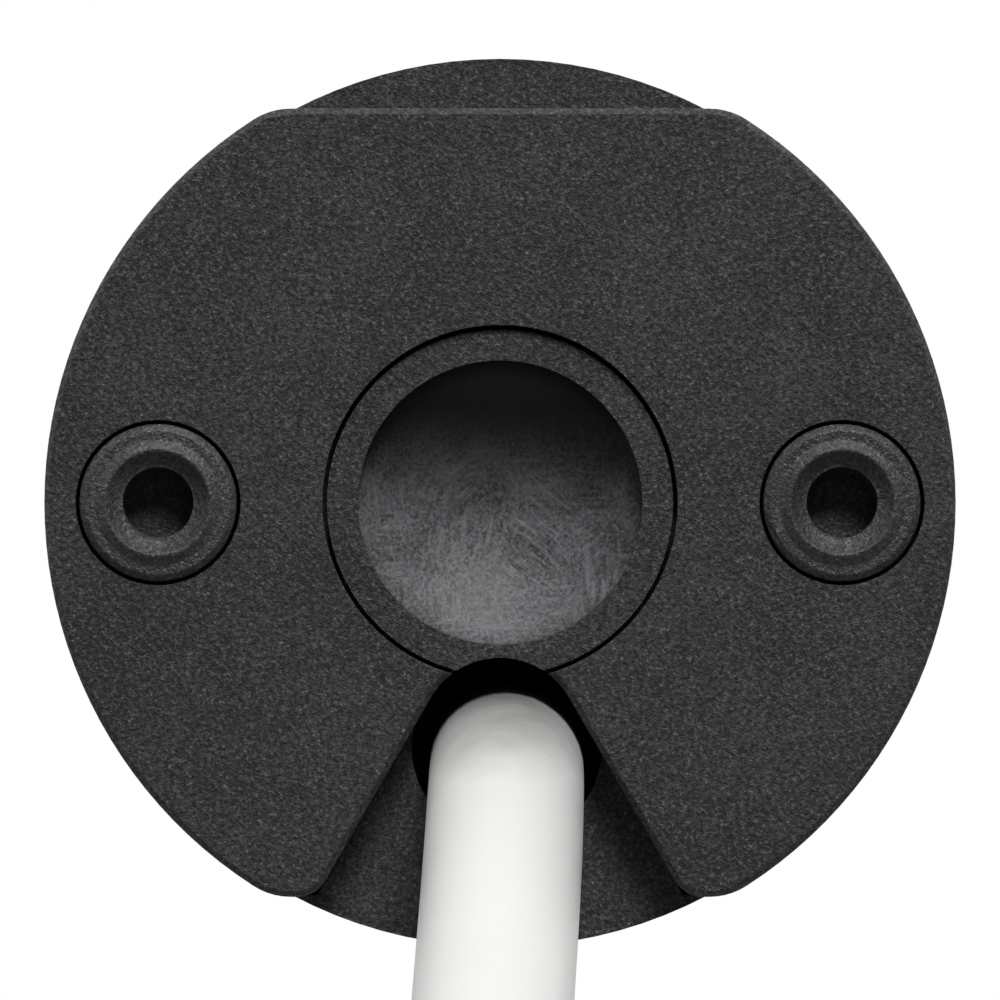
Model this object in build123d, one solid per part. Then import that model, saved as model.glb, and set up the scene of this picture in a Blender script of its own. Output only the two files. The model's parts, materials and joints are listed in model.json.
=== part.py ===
"""A tubular motor for a roller blind, with its round head, its cable and its gear train.

Sizes are in millimetres. The origin is the centre of the head's front face, which a bracket is
screwed to. The face looks along -Y, the motor runs back along +Y, and +Z is up.
"""
from build123d import *
from math import acos, atan2, cos, hypot, pi, radians, sin, tan
import os

# Fits and cuts
overrun = 1.0
running_gap = 0.04
seat_gap = 0.02
cover_gap = 0.1
axial_gap = 0.4

# Motor tube, and the steps from it to the roller tube's seat and to the head's rim
tube_r = 17.5
tube_wall = 0.9
seat_step = 1.4
head_step = 1.1

# Head cover: a round cap with two flats, a plate, a rim and a slot for the cable
flat_cut = 2.7
flat_corner_r = 3.0
cover_depth = 6.5
cover_plate = 2.0
rim_wall = 1.5
front_edge = 0.25
slot_gap = 0.1
slot_rise = 1.2
slot_mouth_half = 8.08
slot_lip_r = 1.5
slot_lining = 1.0
snap_height = 0.35
snap_width = 6.0
snap_depth = 1.0
snap_y = 5.0

# Screw bushes
screw_pitch = 30.0
bush_r = 3.45
bush_stem_r = 2.9
bush_proud = 0.32
bush_rim_chamfer = 0.28
bush_ridge_outer_r = 2.75
bush_ridge_inner_r = 2.08
bush_ridge_height = 0.18
pilot_r = 1.55
pilot_lead = 0.3
pilot_lead_r = 1.68
pilot_depth = 4.0
bush_end = 9.4
bush_hole_gap = 0.17

# Head body: flange, core, centre boss and the spigot that holds the crown and the tube
flange_set_back = 0.25
flange_thick = 3.5
boss_r = 7.6
boss_hole_gap = 0.19
boss_set_back = 0.3
recess_r = 6.25
recess_wall = 1.2
dish_shelf = 0.35
dish_depth = 2.2
spigot_gap = 0.05
spigot_wall = 2.35
spigot_length = 24.0

# Cable and the way it is held
cable_r = 3.4
cable_x = 0.3
cable_floor = 1.65
bore_gap = 0.8
bore_rise = 0.7
seal_wall = 1.1
seal_length = 4.0
seal_collar_wall = 1.1
clamp_y = 30.5
clamp_length = 8.0
clamp_bridge = 1.2
clamp_split = 0.5
clamp_screw_gap = 3.2
clamp_ear = 3.0
clamp_screw_r = 1.1
clamp_screw_head_r = 2.1
clamp_screw_head = 1.6
clamp_screw_edge = 0.55
clamp_screw_slot = 0.55
clamp_screw_length = 6.5
sheath_end = 38.0
exit_run = 7.2

# Setting button and its switch, in the head's upper flat
button_y = 4.1
button_r = 1.7
button_flange_r = 2.1
button_flange = 0.6
button_travel = 0.5
button_set_back = 0.1
plunger_r = 0.8
plunger_length = 1.5
switch_side = 4.0
switch_height = 2.6
switch_well = 2.1
switch_board_width = 11.0
switch_board_thick = 1.2
switch_pocket_gap = 0.15
switch_wire_hole_r = 1.2

# Crown: the ring that the roller tube turns on
crown_length = 12.7
crown_set_back = 0.4
crown_collar = 1.4
crown_gap = 0.15
crown_lead = 0.8
key_width = 5.0
key_depth = 1.2

# The motor tube's seal and rivets
seal_groove_depth = 1.0
ring_seal_width = 1.5
ring_seal_offset = 3.0
ring_seal_squeeze = 0.02
rivet_count = 3
rivet_r = 1.45
rivet_head_r = 2.4
rivet_head = 0.6
rivet_depth = 2.6
front_rivet_offset = 18.0
rear_rivet_offset = 9.0

# Electronics
carrier_gap = 1.0
carrier_slide_gap = 0.2
carrier_wall = 1.5
carrier_ring = 3.0
carrier_edge_z = -2.0
bulkhead = 1.5
bulkhead_top = 7.0
board_gap = 0.5
board_length = 96.0
board_inset = 0.8
board_thick = 1.6
relay_size = (12.0, 19.0, 10.5)
relay_offsets = (48.0, 69.0)
relay_edge_r = 0.6
power_core_size = (13.0, 11.0, 11.0)
power_bobbin_size = (9.0, 16.0, 9.0)
power_offset = 31.5
radio_size = (14.0, 18.0, 1.0)
radio_can_size = (11.0, 12.0, 2.2)
radio_offset = 9.0
radio_x = 5.5
store_r = 3.2
store_length = 11.0
store_offset = 50.0
store_x = -9.7
disc_r = 4.6
disc_thick = 3.2
disc_offset = 90.5
disc_x = 8.0
aerial_r = 0.6
aerial_gap = 0.4
aerial_lead = 8.0
cradle_wall = 2.35
capacitor_length = 58.0
capacitor_edge = 1.0
capacitor_lug = (1.6, 5.0, 0.75)
capacitor_lug_x = 5.0
cradle_gap = 0.05
wire_r = 0.8
wire_pitch = 2.4
wire_gap = 0.5
wire_bend_r = 2.0
wire_gather = 1.7
wire_sides = 6
aerial_bend_r = 3.0

# Motor
motor_gap = 2.5
bell_thick = 4.0
bell_boss_wall = 2.0
bell_boss = 4.5
bell_notch_width = 9.0
bell_notch_depth = 3.0
bell_vent_r = 2.0
bell_vent_place = 11.0
bell_vent_turns = (90, 150, 210, 270)
shaft_r = 2.5
bush_wall = 2.0
bush_length = 7.0
winding_gap = 3.0
winding_overhang = 10.0
winding_gap_out = 0.7
winding_set_back = 1.2
winding_chamfer = 1.8
stator_length = 80.0
stator_gap = 0.1
stator_bore_r = 9.4
slot_count = 12
stator_yoke = 2.3
slot_width = 2.8
slot_mouth = 1.0
slot_mouth_depth = 0.8
air_gap = 0.3
cage_set_back = 1.0
cage_ring = 4.0
rotor_inset = 1.0
magnet_r = 6.0
magnet_thick = 3.0
magnet_gap = 0.6
sensor_board_thick = 1.0
sensor_gap = 1.0
sensor_post_r = 1.2
sensor_post_gap = 0.2
sensor_board_edge = 0.4

# Brake: a lined disc that slides on the rotor's shaft, held on by a spring
spring_clearance = 1.4
spring_wire = 0.8
spring_turns = 3
spring_seat_gap = 0.05
spring_length = 11.0
brake_hub_rim = 0.9
brake_hub = 3.5
brake_disc_gap = 2.65
brake_disc_thick = 3.0
lining_width = 4.0
lining_thick = 1.2
brake_touch = 0.05
brake_plate_lip = 1.0
brake_plate_thick = 1.5
bell_cup_wall = 0.9
bell_cup_depth = 11.0
rear_bell_floor = 4.0
rear_bell_boss = 9.0

# Gear train: three planetary stages inside one long ring gear
gear_module = 0.55
sun_teeth = 12
planet_teeth = 21
ring_teeth = 54
pressure_angle = 20.0
backlash = 0.06
addendum_share = 1.0
ring_addendum_share = 0.85
dedendum_share = 1.2
ring_dedendum_share = 1.15
stage_widths = (9.0, 11.0, 15.0)
carrier_plate = 2.5
carrier_plate_gap = 1.2
output_plate = 5.0
planet_count = 3
pin_r = 1.5
pin_short = 0.3
ring_gear_gap = 0.1
gear_start_gap = 2.0

# Output end
output_shaft_r = 5.0
output_flat_depth = 0.8
output_bush_wall = 3.0
output_bush_length = 16.0
cap_front_gap = 0.6
cap_length = 20.0
cap_collar = 3.0
cap_rib_width = 1.6
cap_rib_count = 6
cap_wall = 2.4
wheel_gap = 2.0
wheel_length = 14.0
wheel_rim = 2.3
wheel_web = 2.0
wheel_hub_wall = 3.6
wheel_ribs = 6
wheel_rib_width = 1.8
wheel_lead = 0.8
clip_gap = 0.1
clip_thick = 1.0
clip_reach = 2.6
clip_mouth_share = 0.66
groove_depth = 1.0
groove_extra = 0.15
shaft_tail = 2.6

# Free cable: its real length, the route of its hanging stretch and its put-away coil
cable_length = 2000.0
cable_route = (
    (0.1, -20.0, -16.0),
    (-0.6, -30.6, -24.6),
    (-2.1, -38.0, -35.9),
    (-4.0, -42.0, -48.6),
    (-6.0, -43.4, -62.0),
    (-7.4, -43.5, -75.6),
)
coil_entry = (-7.4, -43.5, -88.4)
bend_share = 0.45
cable_sides = 12
coil_layers = 4
coil_half_turns = 3
coil_turn_gap = 1.9
coil_layer_gap = 0.9
coil_sides = 6
tie_gap = 0.3
tie_thick = 1.2
tie_width = 4.6
tie_head = (6.5, 5.6, 4.4)
tie_tail = 14.0
stripped_length = 38.0
core_r = 1.2
core_ring_r = 1.55
core_spread = 5.0
core_bend_shares = (0.25, 0.55)
bare_r = 0.55
bare_length = 7.0

# Places along the motor's axis
flange_back = cover_depth + flange_thick
core_front = cover_plate + cover_gap
crown_start = flange_back + crown_gap
crown_end = crown_start + crown_length
tube_start = crown_end + crown_gap
spigot_end = tube_start + spigot_length
carrier_start = spigot_end + carrier_gap
board_start = carrier_start + carrier_ring + board_gap
board_end = board_start + board_length
bulkhead_start = board_end + board_gap
capacitor_start = bulkhead_start + bulkhead + board_gap
capacitor_end = capacitor_start + capacitor_length
carrier_end = capacitor_end + board_gap
sensor_start = carrier_end + sensor_gap + sensor_board_thick + magnet_gap
bell_start = sensor_start + magnet_thick + motor_gap
bell_end = bell_start + bell_thick
front_windings = bell_end + winding_gap + bell_boss
stator_start = front_windings + winding_overhang
stator_end = stator_start + stator_length
rear_windings = stator_end + winding_overhang
rotor_start = stator_start + rotor_inset
rotor_end = stator_end - rotor_inset
spring_start = rotor_end + cage_ring + spring_seat_gap
brake_start = spring_start + spring_length + spring_seat_gap
disc_start = brake_start + brake_hub
lining_start = disc_start + brake_disc_thick
plate_start = lining_start + lining_thick + brake_touch
rear_bell_start = plate_start + brake_plate_thick
rear_bell_end = rear_bell_start + rear_bell_floor
rear_boss_end = rear_bell_start + rear_bell_boss
gear_start = rear_boss_end + gear_start_gap
plates = []
planets_from = []
place = gear_start
for stage_width in stage_widths:
    planets_from.append(place)
    plates.append(place + stage_width + axial_gap)
    place = plates[-1] + carrier_plate + axial_gap
output_plate_end = plates[-1] + output_plate
ring_gear_start = gear_start - axial_gap
cap_start = output_plate_end + cap_front_gap
cap_end = cap_start + cap_length
tube_end = cap_end - cap_collar
wheel_start = cap_end + wheel_gap
wheel_end = wheel_start + wheel_length
clip_start = wheel_end + clip_gap
shaft_end = clip_start + clip_thick + shaft_tail

# Radii and heights that follow the pieces they fit
tube_seat_r = tube_r + seat_step
head_r = tube_seat_r + head_step
flat_half = head_r - flat_cut
boss_hole_r = boss_r + boss_hole_gap
flange_r = head_r - flange_set_back
crown_collar_r = head_r - crown_set_back
tube_bore_r = tube_r - tube_wall
spigot_r = tube_bore_r - spigot_gap
cable_z = cable_r + cable_floor - spigot_r
slot_arch_r = cable_r + slot_gap
slot_z = cable_z + slot_rise
bore_r = cable_r + bore_gap
bore_z = cable_z + bore_rise
seal_r = cable_r + seal_wall
clamp_top = cable_z + cable_r + clamp_bridge
clamp_screw_x = cable_r + clamp_screw_gap
clamp_half_width = clamp_screw_x + clamp_ear
aerial_reach = spigot_r - spigot_wall - aerial_gap - aerial_r
aerial_z = (aerial_reach ** 2 - radio_x ** 2) ** 0.5
carrier_r = tube_bore_r - carrier_slide_gap
board_width = 2 * (carrier_r - board_inset)
capacitor_r = carrier_r - cradle_wall - cradle_gap
wire_radius = tube_bore_r - wire_r - wire_gap
bush_outer_r = shaft_r + bush_wall
bell_boss_r = bush_outer_r + bell_boss_wall
winding_r = tube_bore_r - winding_gap_out
winding_bore_r = stator_bore_r + winding_set_back
slot_floor_r = tube_bore_r - stator_gap - stator_yoke
cage_ring_r = stator_bore_r - cage_set_back
sensor_post_x = magnet_r + sensor_post_r + sensor_post_gap
sensor_board_r = sensor_post_x + sensor_post_r + sensor_board_edge
spring_r = shaft_r + spring_clearance + spring_wire / 2
brake_hub_r = spring_r + spring_wire / 2 + brake_hub_rim
brake_disc_r = spigot_r - bell_cup_wall - brake_disc_gap
lining_inner_r = brake_disc_r - lining_width
brake_plate_inner_r = lining_inner_r - brake_plate_lip
carrier_plate_r = gear_module * (ring_teeth / 2 - ring_addendum_share) - carrier_plate_gap
output_flat_half = output_shaft_r - output_flat_depth
output_bush_r = output_shaft_r + output_bush_wall
wheel_hub_r = output_shaft_r + wheel_hub_wall
clip_r = output_shaft_r + clip_reach
clip_mouth = 2 * output_shaft_r * clip_mouth_share
groove_r = output_shaft_r - groove_depth
coil_pitch = 2 * cable_r + coil_turn_gap
coil_layer_step = 2 * cable_r + coil_layer_gap
board_top = carrier_edge_z + board_thick
button_top = flat_half - button_set_back
button_flange_top = flat_half - rim_wall - cover_gap
switch_top = button_flange_top - button_flange - button_travel - cover_gap
planet_orbit_r = gear_module * (sun_teeth + planet_teeth) / 2


def slab(outline, y_from, y_to):
    """An outline drawn in X and Z, made solid from y_from to y_to."""
    return extrude(Plane.XZ.offset(-y_from) * outline, amount=y_from - y_to)


def disc(radius, y_from, y_to, x=0, z=0):
    """A round bar along Y."""
    return slab(Pos(x, z) * Circle(radius), y_from, y_to)


def sleeve(outer, inner, y_from, y_to, x=0, z=0):
    """A round tube along Y."""
    return slab(Pos(x, z) * (Circle(outer) - Circle(inner)), y_from, y_to)


def turned(*profile):
    """A closed profile of (radius, y) points, turned about the motor's axis."""
    return revolve(make_face(Polyline(*profile, close=True)), Axis.Y)


def block(x_span, y_span, z_span):
    """A box between two values on each axis."""
    spans = (x_span, y_span, z_span)
    sizes = [high - low for low, high in spans]
    middle = [(high + low) / 2 for low, high in spans]
    return Pos(*middle) * Box(*sizes)


def post(radius, x, y, z_from, z_to):
    """A round bar along Z."""
    return Pos(x, y, z_from) * Cylinder(radius, z_to - z_from, align=(Align.CENTER, Align.CENTER, Align.MIN))


def spokes(count, width, inner, outer, y_from, y_to):
    """Flat ribs between two radii, evenly spaced about the axis."""
    rib = Pos(0, (inner + outer) / 2) * Rectangle(width, outer - inner)
    return slab(Sketch() + [Rot(0, 0, 360 * k / count) * rib for k in range(count)], y_from, y_to)


def head_outline(inset=0):
    """The head's round outline with its two flats, inset all round."""
    flats = Rectangle(2 * head_r, 2 * (flat_half - inset))
    outline = Circle(head_r - inset) & flats
    return fillet(outline.vertices(), flat_corner_r - inset)


def slot_lean():
    """The angle at which a flank leaves the slot's arch to meet the lower flat at the mouth's width."""
    drop = slot_z + flat_half
    return acos(slot_arch_r / hypot(slot_mouth_half, drop)) - atan2(drop, slot_mouth_half)


def slot_outline(grown=0):
    """The cable slot, an arch over two flanks that open downwards, grown all round."""
    radius = slot_arch_r + grown
    lean = slot_lean()
    side = radius * cos(lean)
    shoulder = slot_z + radius * sin(lean)
    foot = -head_r - overrun
    spread = side + (shoulder - foot) * tan(lean)
    flanks = Polygon((side, shoulder), (-side, shoulder), (-spread, foot), (spread, foot), align=None)
    return flanks + Pos(0, slot_z) * Circle(radius)


def bush_places():
    """The two screw places, as x values."""
    return (-screw_pitch / 2, screw_pitch / 2)


def snap_ridges(height, width, depth):
    """The two ridges inside the rim, left and right, that hold the cover on."""
    reach = head_r - rim_wall
    ridge = (Circle(reach + overrun / 2) - Circle(reach - height)) & Rectangle(2 * head_r, width)
    return slab(ridge, snap_y, snap_y + depth)


def head_cover():
    outline = head_outline() - slot_outline()
    lips = outline.vertices().filter_by(lambda v: v.Y < -flat_half + overrun / 2 and abs(v.X) < head_r / 2)
    lips = lips.sort_by(lambda v: abs(v.X))[:2]
    outline = fillet(lips, slot_lip_r)
    cap = slab(outline, 0, cover_depth)
    cap = chamfer(cap.faces().sort_by(Axis.Y)[0].edges(), front_edge)
    inside = head_outline(rim_wall) - slot_outline(slot_lining)
    cap -= slab(inside, cover_plate, cover_depth + overrun)
    cap += snap_ridges(snap_height, snap_width, snap_depth) & slab(head_outline(), 0, cover_depth)
    cap -= disc(boss_hole_r, -overrun, core_front + cover_gap)
    for x in bush_places():
        cap -= disc(bush_r + bush_hole_gap, -overrun, core_front, x)
    cap -= post(button_r + running_gap, 0, button_y, flat_half - rim_wall - overrun, flat_half + overrun)
    return cap


def centre_boss():
    """The boss seen in the middle of the face, with its dished recess."""
    boss = disc(boss_r, boss_set_back, core_front) - slab(slot_outline(), 0, core_front)
    floor = boss_set_back + recess_wall
    edge = Line((0, boss_set_back - overrun), (recess_r, boss_set_back - overrun))
    wall = Line((recess_r, boss_set_back - overrun), (recess_r, floor))
    bottom = floor + dish_depth
    dish_r = recess_r - dish_shelf
    shelf = Line((recess_r, floor), (dish_r, floor))
    curve_r = (dish_r ** 2 + dish_depth ** 2) / (2 * dish_depth)
    dish = RadiusArc((dish_r, floor), (0, bottom), -curve_r)
    axis_line = Line((0, bottom), (0, boss_set_back - overrun))
    recess = revolve(make_face([edge, wall, shelf, dish, axis_line]), Axis.Y)
    return boss, recess


def cable_saddle():
    """The block inside the spigot that the cable's clamp screws down on."""
    split = cable_z - clamp_split / 2
    half = clamp_length / 2
    seat = block((-clamp_half_width, clamp_half_width), (clamp_y - half, clamp_y + half), (-spigot_r, split))
    return seat & disc(spigot_r - seat_gap, clamp_y - half, clamp_y + half)


def head_body():
    body = disc(flange_r, cover_depth, flange_back)
    core_outline = head_outline(rim_wall + cover_gap) - slot_outline(slot_lining + cover_gap)
    body += slab(core_outline, core_front, cover_depth)
    boss, recess = centre_boss()
    body = body + boss - recess
    inner_r = spigot_r - spigot_wall
    body += sleeve(spigot_r, inner_r, flange_back, spigot_end)
    seal_end = flange_back + seal_length
    collar = disc(seal_r + seal_collar_wall, flange_back, seal_end, cable_x, cable_z)
    body += collar & disc(spigot_r, flange_back, seal_end)
    body += cable_saddle()
    body -= disc(cable_r + seat_gap, flange_back, spigot_end, cable_x, cable_z)
    body -= disc(bore_r, core_front, flange_back, cable_x, bore_z)
    body -= disc(seal_r + seat_gap, flange_back, seal_end, cable_x, cable_z)
    groove_r = spigot_r - seal_groove_depth
    groove_y = tube_start + ring_seal_offset
    body -= sleeve(spigot_r + overrun, groove_r, groove_y, groove_y + ring_seal_width)
    ridge_gap = snap_height + cover_gap
    notch = sleeve(head_r, head_r - rim_wall - ridge_gap, snap_y - cover_gap, cover_depth)
    body -= notch & block((-head_r, head_r), (0, cover_depth), (-snap_width, snap_width))
    for x in bush_places():
        body -= disc(bush_stem_r + seat_gap, 0, bush_end + seat_gap, x)
    for side in (-1, 1):
        x = cable_x + side * clamp_screw_x
        pilot_foot = clamp_top - clamp_screw_length - seat_gap
        body -= post(clamp_screw_r + seat_gap, x, clamp_y, pilot_foot, 0)
    body -= switch_pocket()
    board_foot = switch_floor() - switch_board_thick
    body -= disc(switch_wire_hole_r, core_front, flange_back, -switch_side, board_foot)
    for turn in rivet_turns():
        hole = post(rivet_r + seat_gap, 0, 0, inner_r - overrun, tube_r + overrun)
        body -= rivet_place(rivet_rows()[0], turn) * hole
    return body


def switch_floor():
    """The height of the setting switch's underside, on its board."""
    return switch_top - switch_height


def switch_pocket():
    """The room in the core for the setting switch, its board and its button."""
    gap = switch_pocket_gap
    half = switch_side / 2 + gap
    front, back = core_front - overrun, cover_depth - cover_gap
    well = block((-half, half), (front, back), (switch_floor(), flat_half))
    board_half = switch_board_width / 2 + gap
    base = switch_floor() - switch_board_thick - seat_gap
    return well + block((-board_half, board_half), (front, back), (base, switch_floor() + seat_gap))


def setting_switch():
    """The push switch and the small board that carries it."""
    half = switch_side / 2
    y_span = (button_y - half + gap_to_cover(), button_y + half)
    body = block((-half, half), y_span, (switch_floor(), switch_top))
    body -= post(plunger_r + cover_gap, 0, button_y, switch_top - switch_well, switch_top + overrun)
    half_board = switch_board_width / 2
    base = switch_floor() - switch_board_thick
    board = block((-half_board, half_board), y_span, (base, switch_floor()))
    return Compound(children=[body, board])


def gap_to_cover():
    """How far the switch's front side is drawn back so that it clears the cover's plate."""
    return max(0, core_front + cover_gap - (button_y - switch_side / 2))


def setting_button():
    cap = post(button_r, 0, button_y, button_flange_top - button_flange, button_top)
    collar = post(button_flange_r, 0, button_y, button_flange_top - button_flange, button_flange_top)
    collar &= block((-head_r, head_r), (core_front, cover_depth - cover_gap), (0, head_r))
    stem_top = button_flange_top - button_flange
    return cap + collar + post(plunger_r, 0, button_y, stem_top - plunger_length, stem_top)


def screw_bushes():
    """Two stepped bushes with a raised ridge round the pilot hole that a screw cuts into."""
    chamfer_y = -bush_proud + bush_rim_chamfer
    lip_y = -bush_proud + pilot_lead
    crest_y = -bush_proud - bush_ridge_height
    outside = (
        (bush_ridge_outer_r, -bush_proud),
        (bush_r - bush_rim_chamfer, -bush_proud),
        (bush_r, chamfer_y),
        (bush_r, core_front),
        (bush_stem_r, core_front),
        (bush_stem_r, bush_end),
        (0, bush_end),
        (0, pilot_depth),
        (pilot_r, pilot_depth),
        (pilot_r, lip_y),
        (pilot_lead_r, lip_y),
        (bush_ridge_inner_r, -bush_proud),
        (bush_ridge_inner_r + bush_ridge_height, crest_y),
        (bush_ridge_outer_r - 2 * bush_ridge_height, crest_y),
    )
    bush = turned(*outside)
    return Compound(children=[Pos(x, 0, 0) * bush for x in bush_places()])


def cable_seal():
    """The rubber sleeve that grips the cable behind the flange."""
    start = flange_back + seat_gap
    return sleeve(seal_r, cable_r + seat_gap, start, flange_back + seal_length, cable_x, cable_z)


def cable_clamp():
    """The bridge that presses the cable into its saddle."""
    half = clamp_length / 2
    bottom = cable_z + clamp_split / 2
    y_span = (clamp_y - half, clamp_y + half)
    bridge = block((-clamp_half_width, clamp_half_width), y_span, (bottom, clamp_top))
    bridge &= disc(spigot_r - spigot_wall - cover_gap, clamp_y - half, clamp_y + half)
    bridge -= disc(cable_r + seat_gap, clamp_y - clamp_length, clamp_y + clamp_length, cable_x, cable_z)
    for side in (-1, 1):
        x = cable_x + side * clamp_screw_x
        bridge -= post(clamp_screw_r + seat_gap, x, clamp_y, bottom - overrun, clamp_top + overrun)
    return bridge


def clamp_screws():
    top = clamp_top
    shank = post(clamp_screw_r, 0, clamp_y, top - clamp_screw_length, top)
    head = post(clamp_screw_head_r, 0, clamp_y, top + seat_gap, top + seat_gap + clamp_screw_head)
    head = chamfer(head.edges().group_by(Axis.Z)[-1], clamp_screw_edge)
    screw = shank + head + post(clamp_screw_r, 0, clamp_y, top, top + clamp_screw_head / 2)
    slot_half = clamp_screw_slot / 2
    slot_floor = top + clamp_screw_head / 2
    slot_y = (clamp_y - slot_half, clamp_y + slot_half)
    screw -= block((-clamp_screw_head_r, clamp_screw_head_r), slot_y, (slot_floor, slot_floor + overrun))
    return Compound(children=[Pos(cable_x + side * clamp_screw_x, 0, 0) * screw for side in (-1, 1)])


def cable_inlet():
    """The sheathed end of the cable inside the head."""
    return disc(cable_r, cover_depth, sheath_end, cable_x, cable_z)


def crown():
    profile = (
        (spigot_r + running_gap, crown_start),
        (crown_collar_r, crown_start),
        (crown_collar_r, crown_start + crown_collar),
        (tube_seat_r, crown_start + crown_collar),
        (tube_seat_r, crown_end - crown_lead),
        (tube_seat_r - crown_lead, crown_end),
        (spigot_r + running_gap, crown_end),
    )
    return turned(*profile) - keyway(crown_start, crown_end)


def keyway(y_from, y_to):
    """The groove in a seat's top that a key in the roller tube runs in."""
    half = key_width / 2
    span = (y_from - overrun, y_to + overrun)
    return block((-half, half), span, (tube_seat_r - key_depth, head_r))


def ring_seal():
    """The rubber ring between the spigot and the tube."""
    inner = spigot_r - seal_groove_depth + seat_gap
    start = tube_start + ring_seal_offset + seat_gap
    end = start + ring_seal_width - 2 * seat_gap
    return sleeve(tube_bore_r - ring_seal_squeeze, inner, start, end)


def rivet_turns():
    """The rivets' angles about the axis."""
    return [360 * (k + 1 / 2) / rivet_count for k in range(rivet_count)]


def rivet_rows():
    """Where the two rows of rivets lie along the axis."""
    return (tube_start + front_rivet_offset, tube_end - rear_rivet_offset)


def rivet_place(y, turn):
    """A place on the axis at y, turned about it, whose own Z points outwards."""
    return Pos(0, y, 0) * Rot(0, turn, 0)


def tube_rivets():
    """Blind rivets through the tube into the head's spigot and the end cap."""
    head = post(rivet_head_r, 0, 0, tube_r - tube_wall / 2, tube_r + rivet_head)
    head -= rivet_tube_cut()
    head = chamfer(head.edges().group_by(Axis.Z)[-1], rivet_head / 2)
    shank = post(rivet_r, 0, 0, tube_bore_r - rivet_depth, tube_r + rivet_head / 2)
    places = [rivet_place(y, turn) for y in rivet_rows() for turn in rivet_turns()]
    return Compound(children=[place * (head + shank) for place in places])


def rivet_tube_cut():
    """The tube's outside, which a rivet's head is hollowed to sit on."""
    length = 2 * (rivet_head_r + overrun)
    return Rot(90, 0, 0) * Cylinder(tube_r + seat_gap, length)


def motor_tube():
    tube = sleeve(tube_r, tube_bore_r, tube_start, tube_end)
    hole = post(rivet_r + seat_gap, 0, 0, tube_bore_r - overrun, tube_r + overrun)
    for y in rivet_rows():
        for turn in rivet_turns():
            tube -= rivet_place(y, turn) * hole
    return tube


def board_carrier():
    """The moulded tray that slides in the tube: a ring, a trough for the board and a cradle."""
    inner = carrier_r - carrier_wall
    wide = 2 * carrier_r + overrun
    lower = Pos(0, carrier_edge_z - carrier_r) * Rectangle(wide, 2 * carrier_r)
    tray = sleeve(carrier_r, inner, carrier_start, carrier_start + carrier_ring)
    trough = (Circle(carrier_r) - Circle(inner)) & lower
    tray += slab(trough, carrier_start, bulkhead_start)
    wall = Circle(carrier_r) & (Pos(0, bulkhead_top - carrier_r) * Rectangle(wide, 2 * carrier_r))
    tray += slab(wall, bulkhead_start, bulkhead_start + bulkhead)
    cradle = (Circle(carrier_r) - Circle(capacitor_r + cradle_gap)) & lower
    return tray + slab(cradle, bulkhead_start + bulkhead, carrier_end)


def circuit_board():
    half = board_width / 2
    return block((-half, half), (board_start, board_end), (carrier_edge_z, board_top))


def on_board(size, offset, x=0, lift=0):
    """A box of a given size that stands on the board."""
    width, length, height = size
    y_from = board_start + offset
    z_from = board_top + lift
    return block((x - width / 2, x + width / 2), (y_from, y_from + length), (z_from, z_from + height))


def relays():
    cases = [on_board(relay_size, offset) for offset in relay_offsets]
    return Compound(children=[fillet(case.edges().filter_by(Axis.Z), relay_edge_r) for case in cases])


def power_converter():
    """A small transformer: its core round its bobbin."""
    core = on_board(power_core_size, power_offset)
    core_length, bobbin_length = power_core_size[1], power_bobbin_size[1]
    bobbin = on_board(power_bobbin_size, power_offset - (bobbin_length - core_length) / 2)
    return core + bobbin


def radio_module():
    """A small radio board with its screening can."""
    board = on_board(radio_size, radio_offset, radio_x)
    inset = (radio_size[1] - radio_can_size[1]) / 2
    can = on_board(radio_can_size, radio_offset + inset, radio_x, radio_size[2])
    can = fillet(can.edges().filter_by(Axis.Z), relay_edge_r)
    return board + can


def board_components():
    """The storage capacitor and the surge disc at the board's rear end."""
    y = board_start + store_offset
    store = disc(store_r, y, y + store_length, store_x, board_top + store_r)
    surge_y = board_start + disc_offset
    surge = disc(disc_r, surge_y, surge_y + disc_thick, disc_x, board_top + disc_r)
    return Compound(children=[store, surge])


def aerial():
    """The wire aerial, up from the radio and forwards into the plastic head."""
    y = board_start + radio_offset + radio_size[1] / 4
    foot = (radio_x, y, board_top + radio_size[2] + radio_can_size[2])
    bend = (radio_x, y, aerial_z)
    path = FilletPolyline(foot, bend, (radio_x, flange_back + aerial_lead, aerial_z), radius=aerial_bend_r)
    return sweep(Plane(origin=foot, z_dir=(0, 0, 1)) * RegularPolygon(aerial_r, wire_sides), path)


def wire(points):
    """One round wire through points, with rounded corners."""
    path = FilletPolyline(*points, radius=wire_bend_r)
    start = Plane(origin=path @ 0, z_dir=path % 0)
    return sweep(start * RegularPolygon(wire_r, wire_sides), path)


def mains_wires():
    """The three wires from the cable's sheath up to the board."""
    wires = []
    for side in (-1, 0, 1):
        x_near = cable_x + side * wire_gather
        x_far = side * 2 * wire_pitch
        top = board_top + 2 * wire_bend_r
        land = board_start + wire_pitch + wire_bend_r
        points = [(x_near, sheath_end, cable_z)]
        points.append((x_near, spigot_end - wire_bend_r, cable_z))
        points.append((x_far, spigot_end + wire_bend_r, top))
        points.append((x_far, land, top))
        points.append((x_far, land, board_top))
        wires.append(wire(points))
    return Compound(children=wires)


def motor_wires():
    """The three wires from the board, over the capacitor, to the windings."""
    wires = []
    for side in (-1, 0, 1):
        x = side * wire_pitch
        z = wire_radius if side == 0 else wire_radius - wire_r / 4
        start_y = board_start + relay_offsets[1] + relay_size[1] + wire_pitch
        points = [(x, start_y, board_top), (x, start_y, z), (x, front_windings, z)]
        wires.append(wire(points))
    return Compound(children=wires)


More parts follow.
